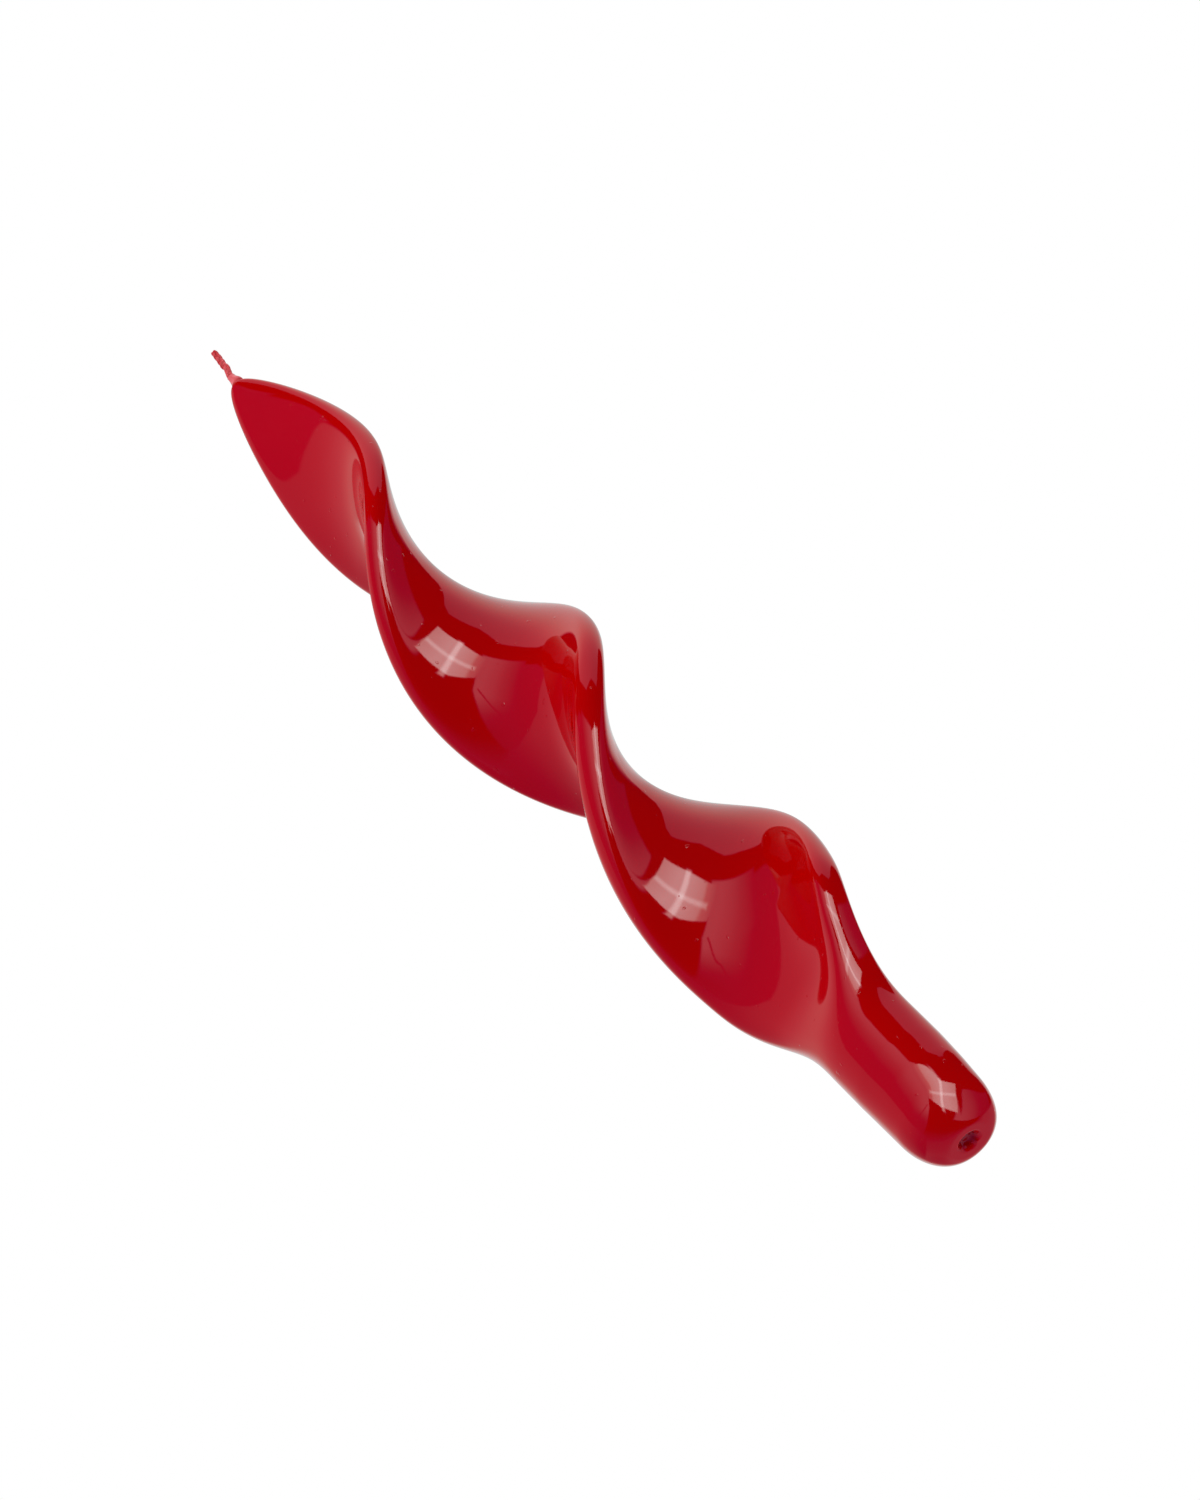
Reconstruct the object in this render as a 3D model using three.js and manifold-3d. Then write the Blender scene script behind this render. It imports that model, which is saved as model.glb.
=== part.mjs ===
// Twisted taper candle. A round dipped candle is rolled flat above its stem, twisted by hand while
// it is warm, and dipped once in gloss lacquer as it hangs from its wick.
// Millimetres, +Z up from the foot to the wick, origin at the centre of the foot.

import * as THREE from 'three';
import { mergeVertices } from 'three/addons/utils/BufferGeometryUtils.js';
import Module from 'manifold-3d';

// Stem: the end left round, which stands in a candlestick and widens a little from its foot
const STEM_FOOT_DIAMETER = 21.35;
const STEM_TOP_DIAMETER = 22.64;
const STEM_LENGTH = 23.75;
const FOOT_ROUNDING = 6;
const FOOT_ROUNDING_HEIGHT = 10.8;
const DIMPLE_DIAMETER = 6.8;
const DIMPLE_DEPTH = 1.3;

// Blade: widths from edge to edge at the end of the shoulder, halfway, and at the base of the tip
const BODY_LENGTH = 282;
const SHOULDER_LENGTH = 50.8;
const ROLLING_LENGTH = 25.9;
const BLADE_WIDTH_LOW = 43.4;
const BLADE_WIDTH_MIDDLE = 41.1;
const BLADE_WIDTH_HIGH = 49;
const EDGE_THICKNESS_LOW = 16.7;
const EDGE_THICKNESS_HIGH = 6.2;

// Dish: how far each face is hollowed, where the rolling pin pressed hardest, and how far the
// hollow leans to one edge. Camber: how far the middle of the blade bulges to one face
const DISH_LOW = 4.08;
const DISH_MIDDLE = 1.03;
const DISH_HIGH = 0.08;
const DISH_LEAN_LOW = -0.52;
const DISH_LEAN_MIDDLE = 0.29;
const DISH_LEAN_HIGH = 0.21;
const CAMBER_LOW = -1.67;
const CAMBER_MIDDLE = -0.91;
const CAMBER_HIGH = 0.21;
const DISH_FADE_LENGTH = 60;

// Tip: a leaf that widens from a small round end about the wick, and rounds over into the blade
const TIP_LENGTH = 57.1;
const TIP_BASE_WIDTH = 40;
const TIP_FULLNESS = 0.719;
const TIP_CORNER = 11.2;
const TIP_DIAMETER = 3.8;
const TIP_ROUNDING = 0.8;
const TIP_THINNING = 41;

// Twist: right-handed, easing in above the foot and slackening towards the tip, with three slow
// waves, each half a turn shorter than the last, because it is wound by hand
const TWIST_PHASE = 118.3;
const HALF_TURN_LENGTH = 70.88;
const TWIST_START = 16;
const TWIST_EASE_LENGTH = 90;
const SLACK_START = 88.5;
const SLACK_SHARE = 0.5575;
const TWIST_WAVE_ANGLES = [-7.5, -2, 9.2];

// Hand work: waves of the axis from straight, each half a turn shorter than the last, and the lean
// of the tip
const AXIS_WAVES = [-4.11, 2.48, -0.84];
const AXIS_SIDE_WAVES = [0.65, 0.24, -0.15];
const TIP_LEAN = -6.75;

// Lacquer: one skin over the whole candle, which ends in a cap, a film about the wick and a drip
const LACQUER_WALL = 0.5;
const CAP_LENGTH = 5;
const FILM_HEIGHT = 2.6;
const FILM_WALL = 0.3;
const FILM_SPREAD = 0.4;
const DRIP_DIAMETER = 2.6;
const DRIP_LENGTH = 1.5;
const DRIP_WAIST_DIAMETER = 1.1;
const DRIP_TIP_DIAMETER = 0.5;

// Wick: three cotton strands in a flat plait, standing free above the tip
const FREE_WICK = 12;
const WICK_LEAN = 0.9;
const STRAND_DIAMETER = 0.5;
const STRAND_CLEARANCE = 0.2;
const STRANDS = 3;
const KNOTS_IN_PITCH = 6;
const PLAIT_PITCH = 14;
const CLEARANCE = 0.3;

// Facets
const SIDES = 20;
const STATIONS = 76;
const STATION_CROWDING = 1.25;
const ROUNDING_STEPS = 4;
const TIP_STEPS = 3;
const DIMPLE_RINGS = [0.3, 0.6, 1];
const FILM_RINGS = [0, 0.25, 0.5, 1];
const DRIP_RINGS = [0.08, 0.5, 0.9];
const CHANNEL_SIDES = 8;
const CHANNEL_STEP = 12;
const STRAND_SIDES = 5;
const OVERCUT = 1;

// Shape of the curves: how the section's points gather near its edges, and how the tip thins
const GATHER_POWER = 4;
const GATHER_SPREAD = 0.15;
const THINNING_POWER = 3;
const THINNING_FULLNESS = 0.7;

const flatRadius = STEM_FOOT_DIAMETER / 2 - FOOT_ROUNDING;
const tipRadius = TIP_DIAMETER / 2;
const profileTop = BODY_LENGTH - TIP_ROUNDING;
const tipStart = profileTop - TIP_LENGTH;
const bladeStart = STEM_LENGTH + SHOULDER_LENGTH;
const cavityTop = BODY_LENGTH - CAP_LENGTH;
const coreInset = LACQUER_WALL + CLEARANCE;
const wickBottom = coreInset + DIMPLE_DEPTH;
const wickTop = BODY_LENGTH + FREE_WICK;

// The strands of a plait with six knots in a pitch come closest halfway between two knots. These
// two shares of the distance between their middles there keep the space between them
const KNOT_HALF_WIDTH = 1.26;
const KNOT_HALF_DEPTH = 0.66;
const strandRadius = STRAND_DIAMETER / 2;
const plaitHalfWidth = KNOT_HALF_WIDTH * (STRAND_DIAMETER + STRAND_CLEARANCE);
const plaitHalfDepth = KNOT_HALF_DEPTH * (STRAND_DIAMETER + STRAND_CLEARANCE);
const channelGrowth = (strandRadius + CLEARANCE) / Math.cos(Math.PI / CHANNEL_SIDES);
const channelHalfWidth = plaitHalfWidth + channelGrowth;
const channelHalfDepth = plaitHalfDepth + channelGrowth;

const { clamp, degToRad, lerp, smootherstep } = THREE.MathUtils;

// Integral of the smootherstep from 0 to 1, which goes on with a slope of 1
function easedLength(x) {
  const t = clamp(x, 0, 1);
  return t ** 6 - 3 * t ** 5 + 2.5 * t ** 4 + Math.max(x - 1, 0);
}

// Angle of the blade's width about the axis at height z
function twist(z) {
  const slackLength = profileTop - SLACK_START;
  const eased = TWIST_EASE_LENGTH * easedLength((z - TWIST_START) / TWIST_EASE_LENGTH);
  const slack = SLACK_SHARE * slackLength * easedLength((z - SLACK_START) / slackLength);
  const along = clamp((z - TWIST_START) / (profileTop - TWIST_START), 0, 1);
  const uneven = TWIST_WAVE_ANGLES.reduce((sum, angle, i) => (
    sum + angle * Math.sin((i + 1) * Math.PI * along)
  ), 0);
  return degToRad(TWIST_PHASE + uneven) + (Math.PI / HALF_TURN_LENGTH) * (eased - slack);
}

// Sum of sine waves along the whole candle, which hold one, two and three half waves
function waves(amplitudes, z) {
  const height = Math.min(z / profileTop, 1);
  return amplitudes.reduce((sum, size, i) => sum + size * Math.sin((i + 1) * Math.PI * height), 0);
}

// Centre of the section at height z
function axisPoint(z) {
  const tipLean = TIP_LEAN * clamp((z - tipStart) / TIP_LENGTH, 0, 1) ** 2;
  const wickLean = WICK_LEAN * smootherstep(z, BODY_LENGTH, wickTop);
  return new THREE.Vector3(waves(AXIS_WAVES, z) + tipLean + wickLean, waves(AXIS_SIDE_WAVES, z), z);
}

// Parabola through three values: at the end of the shoulder, halfway, and at the base of the tip
function throughThree(z, low, middle, high) {
  const along = (z - bladeStart) / (tipStart - bladeStart);
  return low * (1 - along) * (1 - 2 * along) + middle * 4 * along * (1 - along)
    + high * along * (2 * along - 1);
}

// Radius of the stem at height z
function stemRadius(z) {
  return lerp(STEM_FOOT_DIAMETER, STEM_TOP_DIAMETER, clamp(z / STEM_LENGTH, 0, 1)) / 2;
}

// Half of the width at height z: the stem's radius eases into a parabola through the three blade
// widths, and a soft minimum takes the smaller of that and the tip's leaf, with a rounded corner
function halfWidth(z) {
  const blade = throughThree(z, BLADE_WIDTH_LOW, BLADE_WIDTH_MIDDLE, BLADE_WIDTH_HIGH) / 2;
  const body = lerp(stemRadius(z), blade, smootherstep(z, STEM_LENGTH, bladeStart));
  const fromEnd = Math.max(profileTop - z, 0) / TIP_LENGTH;
  const leaf = lerp(tipRadius, TIP_BASE_WIDTH / 2, fromEnd ** TIP_FULLNESS);
  return (body ** -TIP_CORNER + leaf ** -TIP_CORNER) ** (-1 / TIP_CORNER);
}

// Radius of the two round edges at height z
function edgeRadius(z) {
  const along = clamp((z - STEM_LENGTH) / (profileTop - STEM_LENGTH), 0, 1);
  const blade = lerp(EDGE_THICKNESS_LOW, EDGE_THICKNESS_HIGH, along) / 2;
  const rolled = smootherstep(z, STEM_LENGTH, STEM_LENGTH + ROLLING_LENGTH);
  const thinning = clamp((z - profileTop + TIP_THINNING) / TIP_THINNING, 0, 1);
  const share = (1 - thinning ** THINNING_POWER) ** THINNING_FULLNESS;
  return lerp(tipRadius, lerp(stemRadius(z), blade, rolled), share);
}

// Share of the dish and the camber at height z, which grows over the shoulder and fades at the tip
function dishShare(z) {
  const nearTip = clamp((z - profileTop + DISH_FADE_LENGTH) / DISH_FADE_LENGTH, 0, 1);
  return smootherstep(z, STEM_LENGTH, bladeStart) * (1 - nearTip ** 2);
}

// The dish's depth, its lean and the camber of the section at height z
function dishAt(z) {
  const height = clamp(z, bladeStart, tipStart);
  return {
    depth: dishShare(z) * throughThree(height, DISH_LOW, DISH_MIDDLE, DISH_HIGH),
    lean: throughThree(height, DISH_LEAN_LOW, DISH_LEAN_MIDDLE, DISH_LEAN_HIGH),
    camber: dishShare(z) * throughThree(height, CAMBER_LOW, CAMBER_MIDDLE, CAMBER_HIGH),
  };
}

// Middle of the wax at height z, where the wick runs: the axis moved to one face by the camber
function middlePoint(z) {
  const across = new THREE.Vector3(-Math.sin(twist(z)), Math.cos(twist(z)), 0);
  return axisPoint(z).addScaledVector(across, dishAt(z).camber);
}

// Points about a centre, along and across a direction that lies in the level plane
function ring(centre, angle, sides, outline) {
  const along = new THREE.Vector3(Math.cos(angle), Math.sin(angle), 0);
  const across = new THREE.Vector3(-Math.sin(angle), Math.cos(angle), 0);
  return Array.from({ length: sides }, (_, i) => {
    const [p, q] = outline((2 * Math.PI * i) / sides);
    return centre.clone().addScaledVector(along, p).addScaledVector(across, q);
  });
}

function ovalRing(centre, angle, sides, halfAlong, halfAcross) {
  return ring(centre, angle, sides, (u) => [halfAlong * Math.cos(u), halfAcross * Math.sin(u)]);
}

// Section of the body, moved in by inset: a disc of the edge radius carried along a line, with its
// points gathered near the two edges, both faces hollowed by a leaning parabola and the whole cambered
function bodyRing(z, inset) {
  const reach = halfWidth(z) - inset;
  const edge = Math.min(edgeRadius(z), halfWidth(z)) - inset;
  const { depth, lean, camber } = dishAt(z);
  return ring(axisPoint(z), twist(z), SIDES, (u) => {
    const c = Math.cos(u);
    const s = Math.sin(u);
    const size = (c ** GATHER_POWER + GATHER_SPREAD * s ** GATHER_POWER) ** (1 / GATHER_POWER);
    const p = (reach - edge) * clamp(c / size, -1, 1) + edge * c;
    const hollow = 1 - (p / reach) ** 2;
    const leaning = hollow * (1 + (2 * lean * p) / reach);
    return [p, (edge - depth * leaning) * s + camber * hollow];
  });
}

// Closed solid through level rings of equal size, each end shut by a fan to its middle point
function loft(rings, bottom, top) {
  const sides = rings[0].length;
  const points = [bottom, ...rings.flat(), top];
  const index = [];
  const last = points.length - 1;
  for (let i = 0; i < sides; i += 1) {
    const next = (i + 1) % sides;
    index.push(0, 1 + next, 1 + i);
    for (let k = 0; k < rings.length - 1; k += 1) {
      const low = 1 + k * sides;
      const high = low + sides;
      index.push(low + i, low + next, high + next, low + i, high + next, high + i);
    }
    index.push(last, last - sides + i, last - sides + next);
  }
  const geometry = new THREE.BufferGeometry().setFromPoints(points);
  geometry.setIndex(index);
  return geometry;
}

// Height of the underside at a radius from the axis, over the foot's dimple
function dimple(radius) {
  return DIMPLE_DEPTH * (1 - smootherstep(radius, 0, DIMPLE_DIAMETER / 2));
}

// Rings of the foot, from the dimple over the flat and up its edge, a quarter of an ellipse
function footRings(inset) {
  const level = (radius, z) => ovalRing(axisPoint(z), twist(z), SIDES, radius, radius);
  const rings = DIMPLE_RINGS.map((share) => {
    const radius = (share * DIMPLE_DIAMETER) / 2;
    return level(radius, inset + dimple(radius));
  });
  for (let i = 0; i < ROUNDING_STEPS; i += 1) {
    const a = (i / ROUNDING_STEPS) * (Math.PI / 2);
    const z = lerp(FOOT_ROUNDING_HEIGHT, inset, Math.cos(a));
    const start = i === 0 ? flatRadius : stemRadius(z) - FOOT_ROUNDING;
    rings.push(level(start + (FOOT_ROUNDING - inset) * Math.sin(a), z));
  }
  return rings;
}

// Heights of the body's rings, closer together towards the tip
const stations = Array.from({ length: STATIONS }, (_, i) => {
  const share = 1 - (1 - i / (STATIONS - 1)) ** STATION_CROWDING;
  return lerp(FOOT_ROUNDING_HEIGHT, profileTop, share);
});

// The whole body with its round end
function bodyGeometry() {
  const rings = [...footRings(0), ...stations.map((z) => bodyRing(z, 0))];
  for (let i = 1; i < TIP_STEPS; i += 1) {
    const a = (i / TIP_STEPS) * (Math.PI / 2);
    const centre = axisPoint(profileTop + TIP_ROUNDING * Math.sin(a));
    const radius = tipRadius * Math.cos(a);
    rings.push(ovalRing(centre, twist(profileTop), SIDES, radius, radius));
  }
  return loft(rings, axisPoint(dimple(0)), axisPoint(BODY_LENGTH));
}

// The body moved in by inset and cut off level at a height below the tip
function innerGeometry(inset, top) {
  const heights = [...stations.filter((z) => z < top - CLEARANCE), top];
  const rings = [...footRings(inset), ...heights.map((z) => bodyRing(z, inset))];
  return loft(rings, axisPoint(inset + dimple(0)), axisPoint(top));
}

// Direction of the plait's width, which lies along the blade's width at the tip
const wickAngle = twist(profileTop);

// Oval way for the wick, along the middle of the wax between two heights
function channelGeometry(from, to) {
  const steps = Math.ceil((to - from) / CHANNEL_STEP);
  const heights = Array.from({ length: steps + 1 }, (_, i) => lerp(from, to, i / steps));
  const rings = heights.map((z) => (
    ovalRing(middlePoint(z), wickAngle, CHANNEL_SIDES, channelHalfWidth, channelHalfDepth)
  ));
  return loft(rings, middlePoint(from), middlePoint(to));
}

// Film of lacquer that climbs the wick, wide at its root and pulled to one side there
function filmGeometry() {
  const bottom = profileTop - TIP_ROUNDING;
  const top = BODY_LENGTH + FILM_HEIGHT;
  const rings = FILM_RINGS.map((share) => {
    const z = lerp(bottom, top, share);
    const spread = FILM_SPREAD * (1 - share) ** 2;
    const centre = axisPoint(z).add(new THREE.Vector3(spread / 2, 0, 0));
    const half = FILM_WALL + spread;
    return ovalRing(centre, wickAngle, SIDES, channelHalfWidth + half, channelHalfDepth + half);
  });
  return loft(rings, axisPoint(bottom), axisPoint(top));
}

// Drop of lacquer that set as it fell from the middle of the foot
function dripGeometry() {
  const top = dimple(0) + LACQUER_WALL / 2;
  const tip = top - DRIP_LENGTH;
  const diameters = [DRIP_TIP_DIAMETER, DRIP_WAIST_DIAMETER, DRIP_DIAMETER];
  const profile = [
    new THREE.Vector2(0, tip),
    ...diameters.map((d, i) => new THREE.Vector2(d / 2, lerp(tip, top, DRIP_RINGS[i]))),
    new THREE.Vector2(0, top),
  ];
  return new THREE.LatheGeometry(profile, SIDES / 2).rotateX(Math.PI / 2);
}

// One strand: a tube through the plait's knots. A strand swings from side to side once in a pitch
// and from front to back twice, a third of a pitch behind its neighbour
function strandGeometry(number) {
  const count = Math.round((wickTop - wickBottom) / (PLAIT_PITCH / KNOTS_IN_PITCH));
  const width = new THREE.Vector3(Math.cos(wickAngle), Math.sin(wickAngle), 0);
  const depth = new THREE.Vector3(-Math.sin(wickAngle), Math.cos(wickAngle), 0);
  const centres = Array.from({ length: count + 1 }, (_, i) => {
    const phase = 2 * Math.PI * ((i + 0.5) / KNOTS_IN_PITCH + number / STRANDS);
    return middlePoint(lerp(wickBottom, wickTop, i / count))
      .addScaledVector(width, plaitHalfWidth * Math.sin(phase))
      .addScaledVector(depth, plaitHalfDepth * Math.sin(2 * phase));
  });
  const rings = centres.map((centre) => (
    ovalRing(centre, 0, STRAND_SIDES, strandRadius, strandRadius)
  ));
  return loft(rings, centres[0], centres[count]);
}

const wasm = await Module();
wasm.setup();

function toSolid(geometry) {
  const bare = geometry.clone();
  bare.deleteAttribute('normal');
  bare.deleteAttribute('uv');
  const merged = mergeVertices(bare);
  return new wasm.Manifold(new wasm.Mesh({
    numProp: 3,
    vertProperties: Float32Array.from(merged.attributes.position.array),
    triVerts: Uint32Array.from(merged.index.array),
  }));
}

function toGeometry(solid) {
  const mesh = solid.getMesh();
  const geometry = new THREE.BufferGeometry();
  geometry.setAttribute('position', new THREE.BufferAttribute(mesh.vertProperties, 3));
  geometry.setIndex(new THREE.BufferAttribute(mesh.triVerts, 1));
  return geometry;
}

function waxCore() {
  const top = cavityTop - CLEARANCE;
  return toGeometry(toSolid(innerGeometry(coreInset, top))
    .subtract(toSolid(channelGeometry(-OVERCUT, top + OVERCUT))));
}

function lacquerCoat() {
  return toGeometry(toSolid(bodyGeometry())
    .add(toSolid(filmGeometry()))
    .add(toSolid(dripGeometry()))
    .subtract(toSolid(innerGeometry(LACQUER_WALL, cavityTop)))
    .subtract(toSolid(channelGeometry(cavityTop - OVERCUT, BODY_LENGTH + FILM_HEIGHT + OVERCUT))));
}

const wax = new THREE.MeshStandardMaterial({ color: '#e9dfc8', roughness: 0.6, metalness: 0 });
const lacquer = new THREE.MeshStandardMaterial({ color: '#a3001a', roughness: 0.05, metalness: 0 });
const cotton = new THREE.MeshStandardMaterial({ color: '#a81f2b', roughness: 0.55, metalness: 0 });

const candle = new THREE.Group();

function addPiece(name, geometry, material) {
  const piece = new THREE.Mesh(geometry, material);
  piece.name = name;
  candle.add(piece);
}

addPiece('wax_core', waxCore(), wax);
addPiece('lacquer_coat', lacquerCoat(), lacquer);
for (let number = 0; number < STRANDS; number += 1) {
  addPiece(`wick_strand_${number + 1}`, strandGeometry(number), cotton);
}

export default candle;
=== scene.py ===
import bpy
import numpy as np
from mathutils import Matrix, Vector


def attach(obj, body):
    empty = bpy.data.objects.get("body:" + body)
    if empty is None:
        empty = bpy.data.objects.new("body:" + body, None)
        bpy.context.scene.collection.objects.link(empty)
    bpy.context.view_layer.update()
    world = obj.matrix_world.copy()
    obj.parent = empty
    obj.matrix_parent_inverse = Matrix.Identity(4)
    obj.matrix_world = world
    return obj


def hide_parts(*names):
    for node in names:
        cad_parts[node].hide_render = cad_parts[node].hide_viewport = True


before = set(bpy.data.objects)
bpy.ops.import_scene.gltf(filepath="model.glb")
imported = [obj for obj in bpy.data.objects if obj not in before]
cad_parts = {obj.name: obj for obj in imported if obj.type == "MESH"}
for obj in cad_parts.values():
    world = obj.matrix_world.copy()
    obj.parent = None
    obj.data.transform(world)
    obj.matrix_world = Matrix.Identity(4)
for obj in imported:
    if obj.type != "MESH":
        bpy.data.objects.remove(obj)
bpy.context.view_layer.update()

MM = 0.001

# Sizes of the candle in millimetres. Angles of the twist are in degrees, and those whose names end
# in TURN are in radians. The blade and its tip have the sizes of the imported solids. The foot, the
# stem, the shoulder and the wick are finer here, and were fitted to the photograph after them.
STEM_DIAMETER_FOOT = 21.35
STEM_DIAMETER_TOP = 22.64
STEM_LENGTH = 23.75
BEVEL_TOP = 16.99
BEVEL_FOOT = 6.0
BEVEL_EASE = 1.5
BEVEL_SLOPE = 0.164
BEVEL_TURN = -1.014
BEVEL_POWER = 2.2
FOOT_ROUNDING = 5.94
FOOT_ROUNDING_HEIGHT = 10.23
DIMPLE_DIAMETER = 6.8
DIMPLE_DEPTH = 1.6
DIMPLE_FLOOR = 1.1
NUB_PLACE = (1.2, 2.05)
NUB_RADIUS = 0.85
NUB_HEIGHT = 0.75
NUB_STEEPNESS = 1.3
NUB_SPREAD = 2.5
BODY_LENGTH = 282.0
SHOULDER_START = 31.87
SHOULDER_LENGTH = 40.2
ROLLING_START = 29.97
ROLLING_LENGTH = 26.71
STEM_SWELL = 0.171
SWELL_HEIGHT = 38.0
SWELL_SPREAD = 9.0
EDGE_SWELL = -0.56
EDGE_SWELL_HEIGHT = 50.0
EDGE_SWELL_SPREAD = 14.0
BLADE_WIDTH_LOW = 43.4
BLADE_WIDTH_MIDDLE = 41.1
BLADE_WIDTH_HIGH = 49.0
EDGE_THICKNESS_LOW = 16.7
EDGE_THICKNESS_HIGH = 6.2
DISH_DEPTHS = (4.08, 1.03, 0.08)
DISH_LEANS = (-0.52, 0.29, 0.21)
CAMBERS = (-1.67, -0.91, 0.21)
DISH_START = 20.41
DISH_RISE = 50.8
DISH_FADE_LENGTH = 60.0
CREASE_HEIGHT = 54.22
CREASE_SPREAD = 17.54
CREASE_DISH = 0.4
CREASE_CAMBER = 2.5
TIP_LENGTH = 57.1
TIP_BASE_WIDTH = 40.0
TIP_FULLNESS = 0.719
TIP_CORNER = 11.2
TIP_DIAMETER = 3.8
TIP_ROUNDING = 0.8
TIP_THINNING = 41.0
TWIST_PHASE = 118.3
HALF_TURN_LENGTH = 70.88
SHOULDER_TWIST = 10.88
SHOULDER_TWIST_HEIGHT = 42.29
SHOULDER_TWIST_SPREAD = 14.28
TWIST_START = 16.0
TWIST_EASE_LENGTH = 90.0
SLACK_START = 88.5
SLACK_SHARE = 0.5575
TWIST_WAVES = (-7.5, -2.0, 9.2)
AXIS_WAVES = (-4.11, 2.48, -0.84)
AXIS_SIDE_WAVES = (0.65, 0.24, -0.15)
TIP_LEAN = -6.75
STEM_LEAN = (0.108, -0.105)
STEM_LEAN_HEIGHT = 60.0
FREE_WICK = 12.0
WICK_LEAN = 0.9
WICK_FOOT = 2.1
WICK_KINK = 0.35
KINK_HEIGHT = 287.4
KINK_LENGTH = 0.9
STRAND_RADIUS = 0.44
PLAIT_HALF_WIDTH = 0.42
PLAIT_HALF_DEPTH = 0.24
PLAIT_PITCH = 5.0
PLAIT_TURN = 0.3
PLAIT_GATHER = 0.35
PLAIT_GATHER_LENGTH = 1.6
FILM_HEIGHT = 3.6
FILM_RADIUS = 0.98
WEB_REACH = 1.3
WEB_TURN = -0.7
WEB_SHARPNESS = 10
WAX_DEPTH = 0.8
WAX_FOOT = 3.2
WAX_BELOW_TOP = 3.0
GATHER_SPREAD = 0.15

PROFILE_TOP = BODY_LENGTH - TIP_ROUNDING
TIP_START = PROFILE_TOP - TIP_LENGTH
BLADE_START = 74.55
WICK_TOP = BODY_LENGTH + FREE_WICK
TIP_RADIUS = TIP_DIAMETER / 2

# The view of the photograph: the candle seen from below its foot, rolled to lie across the picture.
# Tilt and roll are in radians, places and distances in millimetres.
PICTURE = (1200, 1500)
VIEW_TILT = 0.6199
VIEW_ROLL = 0.0359
VIEW_ALONG = -13.516
VIEW_ACROSS = 1.317
VIEW_HEIGHT = 120.0
VIEW_DISTANCE = 1500.0
PIXELS_PER_MM = 4.6227
AXIS_IN_PICTURE = (-0.69998, 0.71416)

# Level of the even light of the room, where 1 is white, and the soft lamp in metres and watts.
AMBIENT = 0.85
LAMP_SIZE = 0.9
LAMP_POWER = 12.0
LAMP_PLACE = (-0.5, -0.7, 1.4)
LAMP_AIM = (0, 0, 0.12)

# Colours of the finishes.
LACQUER = (0.375, 0.0, 0.0, 1)
LACQUER_CLOUD = (0.395, 0.0, 0.0, 1)
# The lacquer's colour darkened in the foot's dimple: painted shade.
LACQUER_DIMPLE_SHADE = (0.2, 0.0, 0.0, 1)
LACQUER_OVER_COTTON = (0.62, 0.11, 0.12, 1)
WAX = (0.8, 0.7, 0.54, 1)
WAX_CLOUD = (0.86, 0.79, 0.66, 1)
# Darker colour of the cotton's random blotches.
COTTON_DARK_BLOTCH = (0.46, 0.006, 0.01, 1)
COTTON = (0.64, 0.08, 0.09, 1)
FLOOR = (0.86, 0.86, 0.86, 1)
WHITE = (1.0, 1.0, 1.0, 1)


def clamp01(x):
    return np.clip(x, 0.0, 1.0)


def smoother(x):
    """Step from 0 to 1 whose first and second slopes are 0 at both ends."""
    x = clamp01(x)
    return x**3 * (x * (6 * x - 15) + 10)


def swell(z, height, spread):
    """Bell of height 1 about a height along the candle."""
    return np.exp(-((z - height) / spread) ** 2)


def eased_length(x):
    """Length run at full rate after a rate that grows from 0 to 1 by the smoother step."""
    y = clamp01(x)
    return y**6 - 3 * y**5 + 2.5 * y**4 + np.clip(x - 1, 0, None)


def twist(z):
    """Angle of the blade at height z: an eased start, slack that builds up towards the tip,
    and three waves, because the candle is turned by hand."""
    slack_length = PROFILE_TOP - SLACK_START
    turned = TWIST_EASE_LENGTH * eased_length((z - TWIST_START) / TWIST_EASE_LENGTH)
    turned = turned - SLACK_SHARE * slack_length * eased_length((z - SLACK_START) / slack_length)
    share = clamp01((z - TWIST_START) / (PROFILE_TOP - TWIST_START))
    extra = SHOULDER_TWIST * swell(z, SHOULDER_TWIST_HEIGHT, SHOULDER_TWIST_SPREAD)
    start = np.radians(TWIST_PHASE + waves(TWIST_WAVES, share) + extra)
    return start + np.pi / HALF_TURN_LENGTH * turned


def waves(sizes, share):
    """Sum of sine waves: one, two and three half waves over a share of 0 to 1."""
    return sum(size * np.sin((k + 1) * np.pi * share) for k, size in enumerate(sizes))


def axis_point(z):
    """Middle line of the candle: three waves each way, with a lean of the tip and of the wick."""
    share = np.minimum(z / PROFILE_TOP, 1.0)
    x = waves(AXIS_WAVES, share) + TIP_LEAN * clamp01((z - TIP_START) / TIP_LENGTH) ** 2
    x = x + WICK_LEAN * smoother((z - BODY_LENGTH) / FREE_WICK)
    low = clamp01(1 - z / STEM_LEAN_HEIGHT) ** 2
    return x + STEM_LEAN[0] * low, waves(AXIS_SIDE_WAVES, share) + STEM_LEAN[1] * low


def through_three(z, low, middle, high):
    """Parabola in the height along the blade through its low, middle and high values."""
    a = (z - BLADE_START) / (TIP_START - BLADE_START)
    return low * (1 - a) * (1 - 2 * a) + middle * 4 * a * (1 - a) + high * a * (2 * a - 1)


def stem_radius(z):
    """Radius of the stem: an even taper with a slight swell above it."""
    foot, top = STEM_DIAMETER_FOOT / 2, STEM_DIAMETER_TOP / 2
    taper = foot + (top - foot) * clamp01(z / STEM_LENGTH)
    return taper + STEM_SWELL * swell(z, SWELL_HEIGHT, SWELL_SPREAD)


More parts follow.
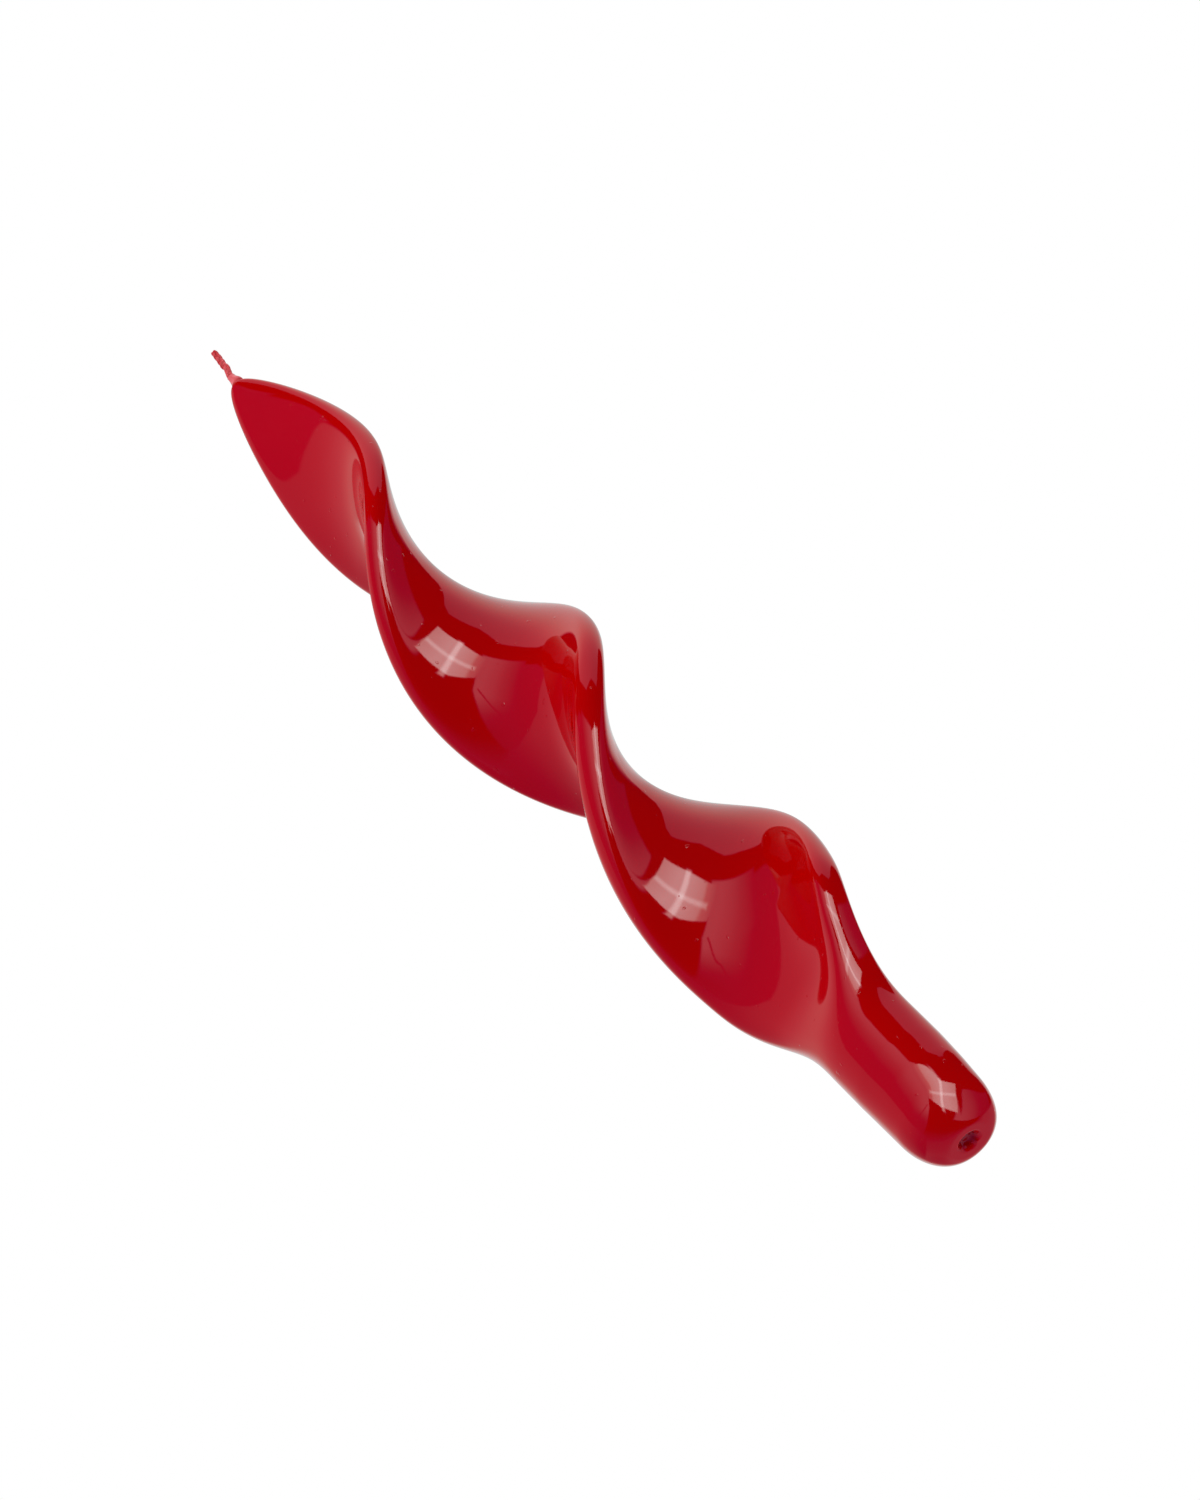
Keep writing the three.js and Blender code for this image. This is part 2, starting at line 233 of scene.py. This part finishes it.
def half_width(z):
    """Blade grown out of the stem, cut by a leaf-shaped tip through a smooth minimum."""
    blade = through_three(z, BLADE_WIDTH_LOW, BLADE_WIDTH_MIDDLE, BLADE_WIDTH_HIGH) / 2
    body = stem_radius(z) + (blade - stem_radius(z)) * smoother((z - SHOULDER_START) / SHOULDER_LENGTH)
    from_end = np.clip(PROFILE_TOP - z, 0, None) / TIP_LENGTH
    leaf = TIP_RADIUS + (TIP_BASE_WIDTH / 2 - TIP_RADIUS) * from_end**TIP_FULLNESS
    return (body**-TIP_CORNER + leaf**-TIP_CORNER) ** (-1 / TIP_CORNER)


def edge_radius(z):
    """Radius of the blade's round edges, thinned out at the tip."""
    up = clamp01((z - STEM_LENGTH) / (PROFILE_TOP - STEM_LENGTH))
    blade = (EDGE_THICKNESS_LOW + (EDGE_THICKNESS_HIGH - EDGE_THICKNESS_LOW) * up) / 2
    blade = blade + EDGE_SWELL * swell(z, EDGE_SWELL_HEIGHT, EDGE_SWELL_SPREAD)
    body = stem_radius(z) + (blade - stem_radius(z)) * smoother((z - ROLLING_START) / ROLLING_LENGTH)
    thinning = clamp01((z - PROFILE_TOP + TIP_THINNING) / TIP_THINNING)
    return TIP_RADIUS + (body - TIP_RADIUS) * (1 - thinning**3) ** 0.7


def dish(z):
    """Depth of the hollow of each face, its lean to one edge, and the camber of the section. Depth
    and camber grow over the shoulder, where a crease adds to both, and fade at the tip."""
    height = np.clip(z, BLADE_START, TIP_START)
    near_tip = clamp01((z - PROFILE_TOP + DISH_FADE_LENGTH) / DISH_FADE_LENGTH)
    share = smoother((z - DISH_START) / DISH_RISE) * (1 - near_tip**2)
    crease = swell(z, CREASE_HEIGHT, CREASE_SPREAD)
    depth = share * through_three(height, *DISH_DEPTHS) + CREASE_DISH * crease
    camber = share * through_three(height, *CAMBERS) + CREASE_CAMBER * crease
    return depth, through_three(height, *DISH_LEANS), camber


def body_point(z, u):
    """Point of the candle's skin at height z and angle u, in millimetres. The section is a disc
    carried along a line, hollowed by a leaning parabola on both faces, cambered and turned. The
    disc is at c / (c^4 + k s^4)^(1/4) of the line, for c and s the cosine and sine of u."""
    c, s = np.cos(u), np.sin(u)
    reach = half_width(z)
    edge = np.minimum(edge_radius(z), reach)
    below = clamp01((FOOT_ROUNDING_HEIGHT - z) / FOOT_ROUNDING_HEIGHT)
    foot = stem_radius(z) - FOOT_ROUNDING + FOOT_ROUNDING * np.sqrt(1 - below**2)
    reach = np.where(z < FOOT_ROUNDING_HEIGHT, foot, reach)
    edge = np.where(z < FOOT_ROUNDING_HEIGHT, foot, edge)
    gathered = np.clip(c / (c**4 + GATHER_SPREAD * s**4) ** 0.25, -1, 1)
    p = (reach - edge) * gathered + edge * c
    depth, lean, camber = dish(z)
    hollow = 1 - (p / reach) ** 2
    q = (edge - depth * hollow * (1 + 2 * lean * p / reach)) * s + camber * hollow
    turn = twist(z)
    x0, y0 = axis_point(z)
    x, y = p * np.cos(turn) - q * np.sin(turn), p * np.sin(turn) + q * np.cos(turn)
    shrink = 1 - stem_bevel(z, x, y) / np.hypot(x, y)
    return np.stack([x0 + shrink * x, y0 + shrink * y, z], -1)


def stem_bevel(z, x, y):
    """Depth of the shallow bevel on one side of the stem's foot: an eased slope down from its top,
    round the stem as a power of a cosine, drawn in to nothing at the foot as a quarter ellipse."""
    facing = (x * np.cos(BEVEL_TURN) + y * np.sin(BEVEL_TURN)) / np.hypot(x, y)
    side = np.clip(facing, 0, 1) ** BEVEL_POWER
    rise = np.clip(BEVEL_TOP - z, 0, None)
    run = rise**2 / (rise + BEVEL_EASE)
    return BEVEL_SLOPE * run * side * np.sqrt(1 - clamp01(1 - z / BEVEL_FOOT) ** 2)


def angles(columns):
    return np.linspace(0, 2 * np.pi, columns, endpoint=False)[None]


def grid_mesh(name, points, poles=(None, None)):
    """Mesh of a grid of points, closed round its columns, with an optional pole at each end."""
    rows, columns = points.shape[:2]
    verts = points.reshape(-1, 3)
    i = np.arange(rows - 1)[:, None] * columns
    j = np.arange(columns)[None]
    k = (j + 1) % columns
    faces = np.stack([i + j, i + k, i + columns + k, i + columns + j], -1).reshape(-1, 4).tolist()
    for end, pole in enumerate(poles):
        if pole is None:
            continue
        row = (0 if end == 0 else rows - 1) * columns + np.arange(columns)
        tip = len(verts)
        verts = np.concatenate([verts, np.asarray(pole, float).reshape(1, 3)])
        pairs = zip(row, np.roll(row, -1))
        faces += [(tip, b, a) if end == 0 else (tip, a, b) for a, b in pairs]
    mesh = bpy.data.meshes.new(name)
    mesh.from_pydata((verts * MM).tolist(), [], faces)
    mesh.shade_smooth()
    mesh.update()
    obj = bpy.data.objects.new(name, mesh)
    bpy.context.scene.collection.objects.link(obj)
    return obj


def foot_hollow(x, y):
    """Height of the foot's end: a round dimple, and in it a pointed nub where the last drop set."""
    out = (np.hypot(x, y) - DIMPLE_FLOOR) / (DIMPLE_DIAMETER / 2 - DIMPLE_FLOOR)
    hollow = DIMPLE_DEPTH * (1 - smoother(out))
    nx, ny = NUB_PLACE
    off = np.hypot(x - nx, y - ny) / NUB_RADIUS
    nub = NUB_HEIGHT * np.exp(-NUB_STEEPNESS * off) * (1 - smoother(off / NUB_SPREAD))
    return np.maximum(hollow - nub, 0.0)


def make_coat():
    """The lacquer skin: rings out across the foot, round its edge, up the blade, where they crowd
    towards the tip, and on up the film on the wick."""
    columns, foot_rings, edge_rings, blade_rings = 200, 44, 21, 419
    first_ring, crowding = 0.12, 1.25
    u = angles(columns)
    flat_radius = STEM_DIAMETER_FOOT / 2 - FOOT_ROUNDING
    r = np.linspace(first_ring, flat_radius, foot_rings)[:, None]
    x0, y0 = axis_point(0.0)
    turn = twist(0.0)
    x, y = r * np.cos(u + turn), r * np.sin(u + turn)
    foot = np.stack([x0 + x, y0 + y, foot_hollow(x, y)], -1)
    round_steps = np.linspace(0, np.pi / 2, edge_rings + 1)[1:]
    z_round = FOOT_ROUNDING_HEIGHT * (1 - np.cos(round_steps))
    share = 1 - (1 - np.linspace(0, 1, blade_rings + 1)[1:]) ** crowding
    z_body = FOOT_ROUNDING_HEIGHT + (PROFILE_TOP - FOOT_ROUNDING_HEIGHT) * share
    z = np.concatenate([z_round, z_body])[:, None]
    body = body_point(z + 0 * u, u + 0 * z)
    points = np.concatenate([foot, body, film(u)])
    xt, yt = wick_middle(PROFILE_TOP + FILM_HEIGHT)
    poles = ((x0, y0, foot_hollow(0.0, 0.0)), (xt, yt, PROFILE_TOP + FILM_HEIGHT))
    return grid_mesh("lacquer_skin", points, poles)


def make_wax():
    """The wax under the skin: the same shape with the lacquer's thickness taken off all round."""
    rows, columns = 260, 96
    u = angles(columns)
    low, high = WAX_FOOT, PROFILE_TOP - WAX_BELOW_TOP
    z = (low + (high - low) * np.linspace(0, 1, rows))[:, None]
    skin = body_point(z + 0 * u, u + 0 * z)
    x0, y0 = axis_point(z)
    middle = np.stack([x0 + 0 * u, y0 + 0 * u, z + 0 * u], -1)
    out = np.cross(np.roll(skin, -1, axis=1) - np.roll(skin, 1, axis=1), np.gradient(skin, axis=0))
    out /= np.linalg.norm(out, axis=2)[..., None]
    points = skin - WAX_DEPTH * out
    ends = [middle[0, 0] + (0, 0, 0.2), middle[-1, 0]]
    points[..., 2] = np.clip(points[..., 2], low, high)
    return grid_mesh("wax_body", points, ends)


def film(u):
    """Film of lacquer that climbs the wick: a fillet up from the tip's rim, drawn out into a web
    on one side, then thin on the wick."""
    up = np.array([0.04, 0.1, 0.18, 0.28, 0.4, 0.52, 0.64, 0.76, 0.88, 0.96, 1.0])[:, None]
    z = PROFILE_TOP + FILM_HEIGHT * up
    fillet = (1 - up) ** 4
    turn = twist(PROFILE_TOP)
    web = np.abs(np.cos((u + turn - WEB_TURN) / 2)) ** WEB_SHARPNESS
    r = FILM_RADIUS + (TIP_RADIUS - FILM_RADIUS) * fillet + WEB_REACH * web * up * (1 - up) ** 2 * 4
    r = r * np.where(up > 0.99, 0.7, 1.0) * (1 + 0.05 * np.sin(3 * u + 6 * up) * up)
    x, y = wick_middle(z)
    return np.stack([x + r * np.cos(u + turn), y + r * np.sin(u + turn), z + 0 * u], -1)


def wick_middle(z):
    """Middle line of the wick, with a kink half-way up its free end."""
    x, y = axis_point(z)
    _, _, camber = dish(z)
    turn = twist(z)
    kink = WICK_KINK * np.exp(-((z - KINK_HEIGHT) / KINK_LENGTH) ** 2)
    return x - camber * np.sin(turn) + kink, y + camber * np.cos(turn)


def make_strand(name, number):
    """One of the three strands of the flat plait, a tube round a figure of eight drawn out along
    the wick: x = a sin t, y = b sin 2t, with t a third of a turn on from strand to strand."""
    rows, columns, end_rings = 1400, 12, (30, 60)
    z = np.linspace(WICK_FOOT, WICK_TOP - STRAND_RADIUS, rows)
    t = 2 * np.pi * (z / PLAIT_PITCH + number / 3)
    gather = 1 - PLAIT_GATHER * smoother((z - WICK_TOP) / PLAIT_GATHER_LENGTH + 1)
    x0, y0 = wick_middle(z)
    c, s = np.cos(PLAIT_TURN), np.sin(PLAIT_TURN)
    wide, thick = PLAIT_HALF_WIDTH * gather * np.sin(t), PLAIT_HALF_DEPTH * gather * np.sin(2 * t)
    path = np.stack([x0 + c * wide - s * thick, y0 + s * wide + c * thick, z], -1)
    along = np.gradient(path, axis=0)
    along /= np.linalg.norm(along, axis=1)[:, None]
    side = np.cross(along, (0.0, 1.0, 0.0))
    side /= np.linalg.norm(side, axis=1)[:, None]
    other = np.cross(along, side)
    u = angles(columns)
    ring = np.cos(u)[..., None] * side[:, None] + np.sin(u)[..., None] * other[:, None]
    lumps = 1 + 0.06 * np.sin(3 * u + 9 * t[:, None]) * np.sin(2.3 * z[:, None])
    tube = path[:, None] + STRAND_RADIUS * lumps[..., None] * ring
    a = np.radians(end_rings)[:, None, None]
    end = path[-1] + STRAND_RADIUS * (np.cos(a) * ring[-1] + np.sin(a) * along[-1])
    points = np.concatenate([tube, end])
    return grid_mesh(name, points, (path[0], path[-1] + STRAND_RADIUS * along[-1]))


def camera_axes():
    """Right, up and back of the camera, and the candle's axis and side as the camera sees them."""
    along = np.array([0, -np.sin(VIEW_TILT), np.cos(VIEW_TILT)])
    across = np.array([1.0, 0, 0])
    back = np.array([0, -np.cos(VIEW_TILT), -np.sin(VIEW_TILT)])
    c, s = np.cos(VIEW_ROLL), np.sin(VIEW_ROLL)
    along, across = c * along - s * across, s * along + c * across
    ax, ay = AXIS_IN_PICTURE
    right = ax * along + ay * across
    up = ay * along - ax * across
    return right, up, back, along, across


def add_camera():
    """The photograph's view, with its scale set at the candle's own distance."""
    right, up, back, along, across = camera_axes()
    place = np.array([0, 0, VIEW_HEIGHT]) + VIEW_DISTANCE * back
    place = place - VIEW_ALONG * along - VIEW_ACROSS * across
    data = bpy.data.cameras.new("camera")
    data.sensor_fit = "HORIZONTAL"
    data.sensor_width = 36.0
    data.lens = PIXELS_PER_MM * VIEW_DISTANCE * data.sensor_width / PICTURE[0]
    data.clip_start = 0.1
    data.clip_end = 50.0
    obj = bpy.data.objects.new("camera", data)
    turn = Matrix((right, up, back)).transposed().to_4x4()
    obj.matrix_world = Matrix.Translation(Vector(place * MM)) @ turn
    bpy.context.scene.collection.objects.link(obj)
    bpy.context.scene.camera = obj


class Shade:
    """A socket of a node tree. Python arithmetic on it adds Math nodes."""

    def __init__(self, tree, socket):
        self.tree = tree
        self.socket = socket

    def math(self, operation, *values):
        return make_node(self.tree, "ShaderNodeMath", {"operation": operation}, values)

    def __add__(self, other):
        return self.math("ADD", self, other)

    __radd__ = __add__

    def __sub__(self, other):
        return self.math("SUBTRACT", self, other)

    def __rsub__(self, other):
        return self.math("SUBTRACT", other, self)

    def __mul__(self, other):
        return self.math("MULTIPLY", self, other)

    __rmul__ = __mul__

    def __truediv__(self, other):
        return self.math("DIVIDE", self, other)

    def __rtruediv__(self, other):
        return self.math("DIVIDE", other, self)

    def __pow__(self, other):
        return self.math("POWER", self, other)

    def step(self, low, high):
        """0 below low and 1 above high, smooth between."""
        return make_node(self.tree, "ShaderNodeMapRange", {"interpolation_type": "SMOOTHSTEP"},
                         {"Value": self, "From Min": low, "From Max": high})


def make_node(tree, kind, settings=None, inputs=(), output=0):
    """Adds a node, sets its settings, then its inputs by place or name, and wraps one output."""
    node = tree.nodes.new(kind)
    for key, value in (settings or {}).items():
        if key == "stops":
            ramp = node.color_ramp.elements
            for k, (place, colour) in enumerate(value):
                stop = ramp[k] if k < 2 else ramp.new(place)
                stop.position = place
                stop.color = colour
        else:
            setattr(node, key, value)
    pairs = inputs.items() if isinstance(inputs, dict) else enumerate(inputs)
    for key, value in pairs:
        socket = node.inputs[key]
        if isinstance(value, Shade):
            tree.links.new(value.socket, socket)
        else:
            socket.default_value = value
    return Shade(tree, node.outputs[output])


def new_tree(owner):
    owner.use_nodes = True
    owner.node_tree.nodes.clear()
    return owner.node_tree


def finish_material(tree, shader):
    end = tree.nodes.new("ShaderNodeOutputMaterial")
    tree.links.new(shader.socket, end.inputs["Surface"])


def material(name):
    m = bpy.data.materials.new(name)
    return m, new_tree(m)


def principled(tree, **inputs):
    names = {k.replace("_", " ").title().replace("Ior", "IOR"): v for k, v in inputs.items()}
    return make_node(tree, "ShaderNodeBsdfPrincipled", {}, names)


def colour_mix(tree, factor, a, b):
    return make_node(tree, "ShaderNodeMix", {"data_type": "RGBA"}, {0: factor, 6: a, 7: b}, output=2)


def noise(tree, place, scale, detail=2.0):
    return make_node(tree, "ShaderNodeTexNoise", {},
                     {"Vector": place, "Scale": scale, "Detail": detail}, output="Fac")


def place_on_piece(tree):
    return make_node(tree, "ShaderNodeTexCoord", output="Object")


def bump(tree, height):
    """Bump of a height in metres."""
    return make_node(tree, "ShaderNodeBump", {}, {"Strength": 1.0, "Distance": 1.0, "Height": height})


def lacquer_material():
    """Deep red gloss lacquer with a faint cloudiness, a soft orange peel and a few specks. Its colour
    is darkened in the foot's dimple, as painted shade, and it is paler over the cotton that it climbs.
    Here and in the other finishes places and bumps are in metres, and the scales of noise are per
    metre."""
    m, tree = material("red gloss lacquer")
    place = place_on_piece(tree)
    x, y, z = (make_node(tree, "ShaderNodeSeparateXYZ", {}, (place,), output=k) for k in range(3))
    cloud = noise(tree, place, 60.0)
    colour = colour_mix(tree, cloud, LACQUER, LACQUER_CLOUD)
    from_axis = (x * x + y * y) ** 0.5
    # Painted shade: the lacquer is darkened within 2.6 mm of the axis and below 3 mm up, in the foot's
    # dimple.
    dimple_shade = (1 - from_axis.step(0.0017, 0.0026)) * (1 - z.step(0.002, 0.003))
    colour = colour_mix(tree, dimple_shade, colour, LACQUER_DIMPLE_SHADE)
    colour = colour_mix(tree, z.step(0.2805, 0.2825), colour, LACQUER_OVER_COTTON)
    peel = noise(tree, place, 130.0, 1.0)
    specks = noise(tree, place, 620.0, 0.0).step(0.815, 0.85)
    shader = principled(tree, base_color=colour, roughness=0.03 + 0.03 * cloud, ior=1.5,
                        normal=bump(tree, peel * 0.00002 + specks * 0.00005))
    finish_material(tree, shader)
    return m


def wax_material():
    """Plain wax: cream, clouded, with a dull skin and the light that soaks into it."""
    m, tree = material("plain wax")
    place = place_on_piece(tree)
    cloud = noise(tree, place, 90.0, 3.0)
    colour = colour_mix(tree, cloud.step(0.3, 0.7), WAX, WAX_CLOUD)
    grain = noise(tree, place, 900.0)
    shader = principled(tree, base_color=colour, roughness=0.45 + 0.15 * cloud, ior=1.43,
                        normal=bump(tree, grain * 0.00003), subsurface_weight=0.3,
                        subsurface_scale=0.004)
    finish_material(tree, shader)
    return m


def wick_material():
    """Cotton soaked in the red lacquer: darker in random blotches, softly glossy."""
    m, tree = material("lacquered cotton")
    place = place_on_piece(tree)
    blotch = noise(tree, place, 380.0)
    thread = noise(tree, place, 1900.0, 1.0)
    colour = colour_mix(tree, blotch.step(0.35, 0.65), COTTON_DARK_BLOTCH, COTTON)
    shader = principled(tree, base_color=colour, roughness=0.4 + 0.2 * blotch, ior=1.5,
                        normal=bump(tree, thread * 0.00003))
    finish_material(tree, shader)
    return m


def dot(tree, a, b):
    return make_node(tree, "ShaderNodeVectorMath", {"operation": "DOT_PRODUCT"}, {0: a, 1: b},
                     output="Value")


def patch(spot, corners, soft):
    """Mask of a polygon on the map, corners anticlockwise, with its border soft by some degrees:
    the least of the distances inside its sides, stepped from 0 to 1."""
    near = None
    for (x0, y0), (x1, y1) in zip(corners, corners[1:] + corners[:1]):
        size = np.hypot(x1 - x0, y1 - y0)
        nx, ny = (y0 - y1) / size, (x1 - x0) / size
        depth = dot(spot.tree, spot, (nx, ny, -nx * x0 - ny * y0))
        near = depth if near is None else depth.math("MINIMUM", near, depth)
    return near.step(-soft, soft)


def graph(x, *points):
    """Straight lines through the given points of a graph."""
    places, values = zip(*points)
    start, length = places[0], places[-1] - places[0]
    low, rise = min(values), max(values) - min(values)
    stops = [((place - start) / length, ((value - low) / rise,) * 3 + (1,)) for place, value in points]
    share = make_node(x.tree, "ShaderNodeValToRGB", {"stops": stops}, {"Fac": (x - start) / length})
    return share * rise + low


def blend(mask, under, over):
    return make_node(mask.tree, "ShaderNodeMix", {"data_type": "FLOAT"}, {0: mask, 2: under, 3: over})


def map_of_studio(tree):
    """The direction of a ray on a round map about the photographer: degrees right, up and away."""
    ray = make_node(tree, "ShaderNodeTexCoord", output="Generated")
    right, up, back = (dot(tree, ray, tuple(axis)) for axis in camera_axes()[:3])
    away = back.math("ARCCOSINE", back) * (180 / np.pi)
    side = away / (0.000001 + right * right + up * up) ** 0.5
    return right * side, up * side, away


def studio_light(tree):
    """Brightness of the studio by direction, as the candle's gloss shows it: a window with its
    cross, a pale wall on each side, a dark room in front and the backdrop behind. Each layer lies
    over those before it. Corners are in degrees right and up on the map."""
    x, y, away = map_of_studio(tree)
    spot = make_node(tree, "ShaderNodeCombineXYZ", {}, (x, y, 1.0))
    light = graph(y, (-150, 0.2), (-125, 0.3), (-100, 0.55), (-55, 0.48), (-35, 0.24), (-18, 0.05),
                  (0, 0.015))

    left_wall = graph(x, (-160, 0.15), (-135, 0.55), (-113, 0.63), (-98, 0.58), (-83, 0.56),
                      (-68, 0.47), (-50, 0.38))
    left_wall = left_wall * graph(y, (-110, 0.68), (-60, 0.92), (-20, 1.1))
    area = patch(spot, [(-180, -180), (-50, -180), (-46, -38), (-92, 46), (-180, 46)], 4)
    light = blend(area, light, left_wall)

    shaded_wall = graph(x, (-96, 0.36), (-60, 0.38), (-40, 0.3))
    area = patch(spot, [(-48, -28), (-20, 26), (-20, 63), (-80, 60), (-96, 50), (-90, 5), (-76, -13),
                        (-58, -28)], 1.5)
    light = blend(area, light, shaded_wall)

    glow = graph(x, (-62, 0.4), (-53, 0.58), (-45, 0.74), (-38, 0.95), (-26, 1.22), (-16, 1.25))
    fade = graph(y, (-12, 0.0), (5, 0.3), (22, 1.0))
    area = patch(spot, [(-40, -14), (-20, 27), (-14, 65), (-64, 65), (-64, -14)], 1.2)
    light = blend(area * fade, light, glow)
    hairline = patch(spot, [(-24, 29.5), (-48.5, 6), (-47.5, 5), (-23, 28.5)], 0.5)
    light = blend(hairline, light, 0.4)

    right_wall = graph(x, (30, 1.1), (45, 0.85), (55, 0.66), (65, 0.46), (80, 0.33), (110, 0.18))
    area = patch(spot, [(19, 21), (60, 20), (112, 30), (112, 66), (62, 61), (42, 57)], 1.5)
    light = blend(area, light, right_wall)
    dark_strip = patch(spot, [(26, 25), (31, 29), (41, 45), (52, 66), (38, 66), (36, 52)], 1)
    light = blend(dark_strip, light, 0.03)

    panes = graph(x, (-21, 1.2), (-11, 1.9), (-8, 3.6), (6, 5.0), (18, 5.2), (30, 4.2), (40, 3.4))
    area = patch(spot, [(-17, 30), (3, 31.5), (21, 25), (28, 31), (34, 43), (38, 65.5), (10, 67),
                        (-20, 62)], 0.8)
    light = blend(area, light, panes)
    upright = patch(spot, [(5, 28), (9.5, 28), (14, 68), (9, 68)], 1.6)
    crossbar = patch(spot, [(-14, 46), (34, 46), (34, 49.5), (-14, 49.5)], 1.6)
    light = light + 4.0 * upright + 3.0 * crossbar

    right_back = graph(away, (80, 0.5), (90, 0.66), (110, 0.55), (130, 0.35), (150, 0.25), (165, 0.5))
    area = patch(spot, [(60, -60), (140, -140), (200, 0), (150, 60), (76, 18)], 6)
    light = blend(area, light, right_back)
    left_wedge = patch(spot, [(0, 0), (-180, 150), (-180, -40)], 6)
    light = blend(away.step(136, 152) * (1 - left_wedge), light, 0.95)

    backdrop_foot = graph(x, (-180, 170), (-110, 106), (-90, 86), (-71, 81), (-45, 83.5), (-25, 83.5),
                          (-5, 90.5), (8, 93), (25, 90), (42, 86), (52, 90), (60, 97), (67, 102),
                          (78, 105), (92, 100), (108, 90), (127, 70), (180, 50))
    backdrop = graph(x, (-70, 0.88), (0, 0.8), (60, 0.62), (100, 0.55), (130, 0.8))
    area = patch(spot, [(-50, 0), (180, 0), (180, 180), (-180, 180), (-90, 84)], 4)
    return blend((y - backdrop_foot).step(-0.8, 0.8) * area, light, backdrop), away


def mirror_shares(away):
    """Shares of the light that the gloss throws back when it meets the lacquer at half of the angle
    away, with c its cosine: 0.04 + 0.96 (1 - c)^5, in which the tint was read off the photograph,
    and the full law for a refraction of 1.5, which the shader follows."""
    c = away.math("COSINE", away * (np.pi / 360))
    short = 0.04 + 0.96 * (1 - c) ** 5
    g = (1.25 + c * c) ** 0.5
    first, second = (g - c) / (g + c), (c * (g + c) - 1) / (c * (g - c) + 1)
    return short, 0.5 * first * first * (1 + second * second)


def add_world():
    """White to the camera, plain to diffuse light, and the studio to the gloss. In the photograph
    faint reflections on the lacquer are red and strong ones nearly white, so the studio's light is
    tinted by how much of it the gloss adds there. Each colour is divided by the share by which the
    shader multiplies it again."""
    world = bpy.data.worlds.new("studio")
    bpy.context.scene.world = world
    tree = new_tree(world)
    world.cycles.sampling_method = "NONE"
    path = tree.nodes.new("ShaderNodeLightPath")
    sees = Shade(tree, path.outputs["Is Camera Ray"])
    gloss = Shade(tree, path.outputs["Is Glossy Ray"])
    light, away = studio_light(tree)
    mirror, fresnel = mirror_shares(away)
    added = light * mirror
    red = graph(added, (0, 0.006), (0.014, 0), (0.019, 0.003), (0.026, 0.026), (0.034, 0.043),
                (0.047, 0.073), (0.07, 0.125), (0.12, 0.17), (0.24, 0.26), (0.37, 0.38), (0.57, 0.5),
                (1.0, 0.7), (2.0, 1.2))
    lost = light.math("MINIMUM", 0.0142, 0.27 * (0.1 - added))
    green = light.math("MAXIMUM", added - lost.math("MAXIMUM", lost, 0.0), 0.0)
    red = red.math("MAXIMUM", red, 0.9 * added)
    green = green.math("MAXIMUM", green, added * 0.16)
    blue = added - 0.12 * added.math("MINIMUM", added, 0.025)
    tint = (red / fresnel, green / fresnel, blue / fresnel)
    colour = make_node(tree, "ShaderNodeCombineColor", {}, tint)
    studio = colour_mix(tree, gloss, (AMBIENT, AMBIENT, AMBIENT, 1), colour)
    seen = colour_mix(tree, sees, studio, WHITE)
    shader = make_node(tree, "ShaderNodeBackground", {}, {"Color": seen, "Strength": 1.0})
    end = tree.nodes.new("ShaderNodeOutputWorld")
    tree.links.new(shader.socket, end.inputs["Surface"])


def add_floor():
    """Pale round floor just under the foot: rings spaced by the square of their share of the
    radius. Only the camera sees it, and only from above, and it fades out towards its rim."""
    rings, columns, radius, sunk = 24, 96, 2.0 / MM, 0.05
    r = (np.linspace(0.002, 1, rings) ** 2 * radius)[:, None]
    u = angles(columns)
    points = np.stack([r * np.cos(u), r * np.sin(u), 0 * r * u - sunk], -1)
    obj = grid_mesh("floor", points, ((0, 0, -sunk), None))
    obj.data.flip_normals()
    m, tree = material("pale floor")
    far = make_node(tree, "ShaderNodeVectorMath", {"operation": "LENGTH"}, {0: place_on_piece(tree)},
                    output="Value")
    behind = make_node(tree, "ShaderNodeNewGeometry", output="Backfacing")
    sees = make_node(tree, "ShaderNodeLightPath", output="Is Camera Ray")
    hidden = 1 - (1 - far.step(0.9, 1.9)) * (1 - behind) * sees
    paint = principled(tree, base_color=FLOOR, roughness=0.6)
    air = make_node(tree, "ShaderNodeBsdfTransparent")
    shader = make_node(tree, "ShaderNodeMixShader", {}, {0: hidden, 1: paint, 2: air})
    finish_material(tree, shader)
    obj.data.materials.append(m)


def add_lamp():
    """Soft box over the candle, for the shadow on the floor. The gloss doesn't see it, because the
    studio's window stands for it there."""
    data = bpy.data.lights.new("soft box", "AREA")
    data.shape = "SQUARE"
    data.size = LAMP_SIZE
    data.energy = LAMP_POWER
    obj = bpy.data.objects.new("soft box", data)
    obj.visible_glossy = False
    place = Vector(LAMP_PLACE)
    turn = (Vector(LAMP_AIM) - place).to_track_quat("-Z", "Y").to_matrix().to_4x4()
    obj.matrix_world = Matrix.Translation(place) @ turn
    bpy.context.scene.collection.objects.link(obj)


add_camera()
wax = make_wax()
wax.data.materials.append(wax_material())
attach(wax, "root")
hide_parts("wax_core")
coat = make_coat()
coat.data.materials.append(lacquer_material())
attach(coat, "root")
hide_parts("lacquer_coat")
for number in range(3):
    strand = make_strand(f"plait_strand_{number + 1}", number)
    strand.data.materials.append(wick_material())
    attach(strand, "root")
    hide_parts(f"wick_strand_{number + 1}")
add_world()
add_floor()
add_lamp()
bpy.context.scene.view_settings.view_transform = "Standard"
